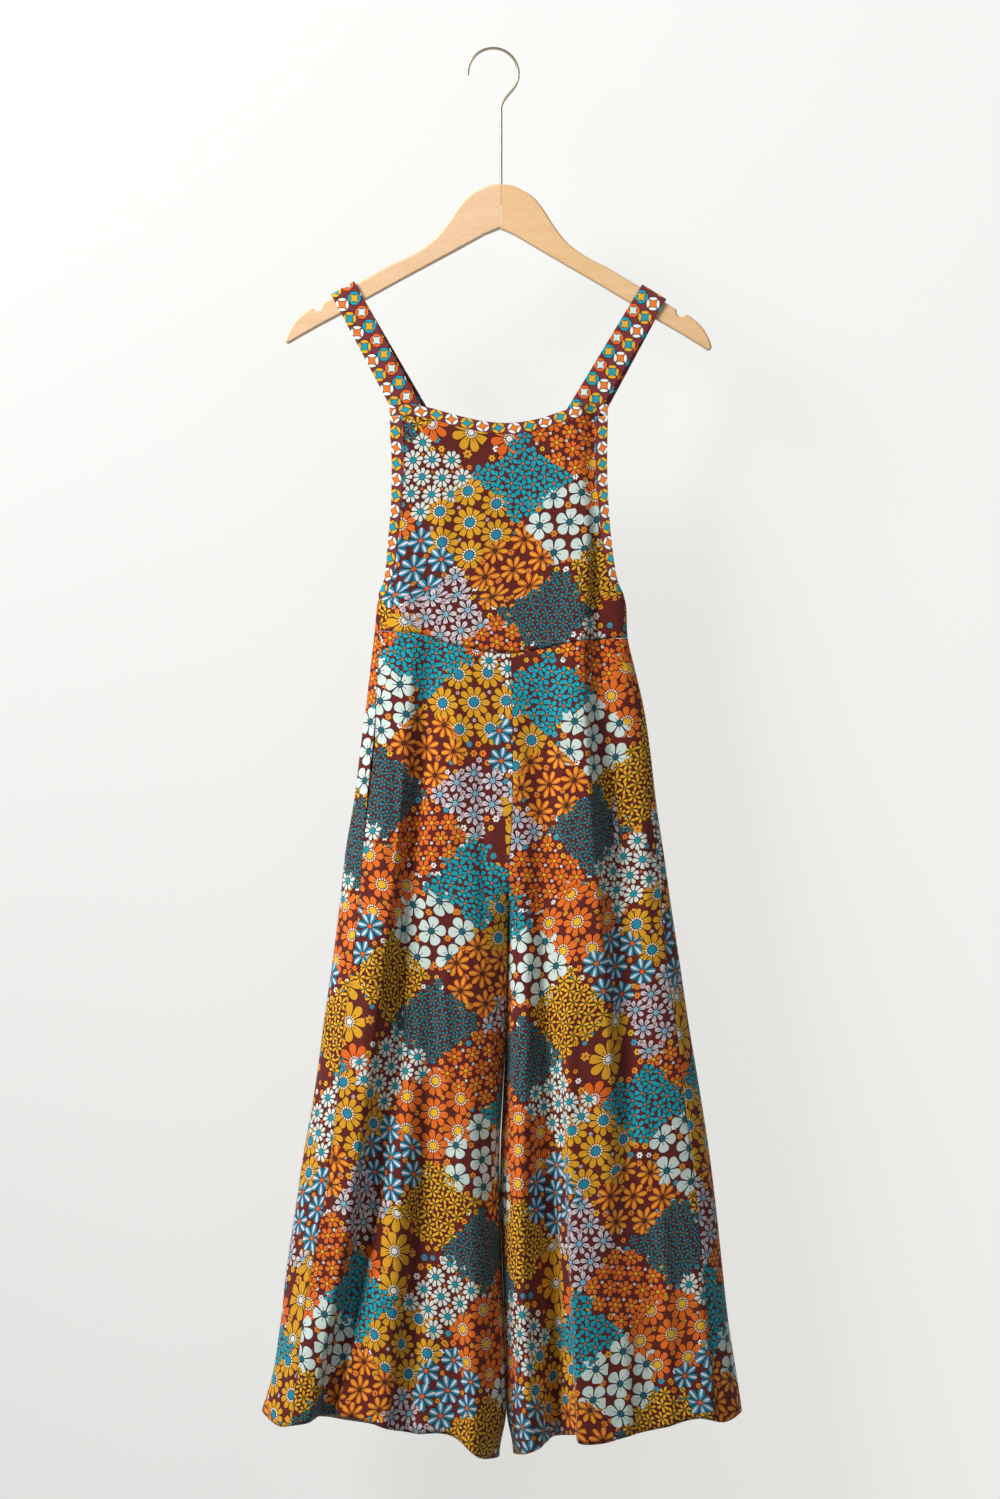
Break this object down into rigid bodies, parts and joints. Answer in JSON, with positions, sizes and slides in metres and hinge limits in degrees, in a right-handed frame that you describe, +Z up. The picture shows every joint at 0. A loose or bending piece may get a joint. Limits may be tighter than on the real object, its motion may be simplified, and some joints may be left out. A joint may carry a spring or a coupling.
{
  "type": "dungaree overalls on a wooden hanger",
  "caption": "Wide-leg sleeveless overalls in patterned cloth, hanging flat by broad shoulder straps from a wooden clothes hanger with a wire hook.",
  "frame": {"origin": "underside of the hook's arch, on the line of its stem, where a rail carries it", "axes": "+Z up, the garment's front faces -Y, +X to the viewer's right seen from the front"},
  "size_m": [0.4982, 0.1009, 1.4605],
  "materials": {
    "printed_cloth": "matt printed plain weave",
    "trim_cloth": "matt printed plain weave, doubled",
    "pocket_cloth": "matt plain weave, two plies",
    "beech_left": "satin lacquer",
    "beech_right": "satin lacquer",
    "nickel_wire": "warm nickel plate"
  },
  "bodies": {
    "root": {"armhole_band_left": "trim_cloth", "armhole_band_right": "trim_cloth", "bodice_back": "printed_cloth", "bodice_front": "printed_cloth", "hanger_left": "beech_left", "hanger_right": "beech_right", "hook": "nickel_wire", "leg_back_left": "printed_cloth", "leg_back_right": "printed_cloth", "leg_front_left": "printed_cloth", "leg_front_right": "printed_cloth", "neckband_back": "trim_cloth", "neckband_front": "trim_cloth", "pocket_left": "pocket_cloth", "pocket_right": "pocket_cloth", "strap_left": "trim_cloth", "strap_right": "trim_cloth"}
  },
  "joints": []
}
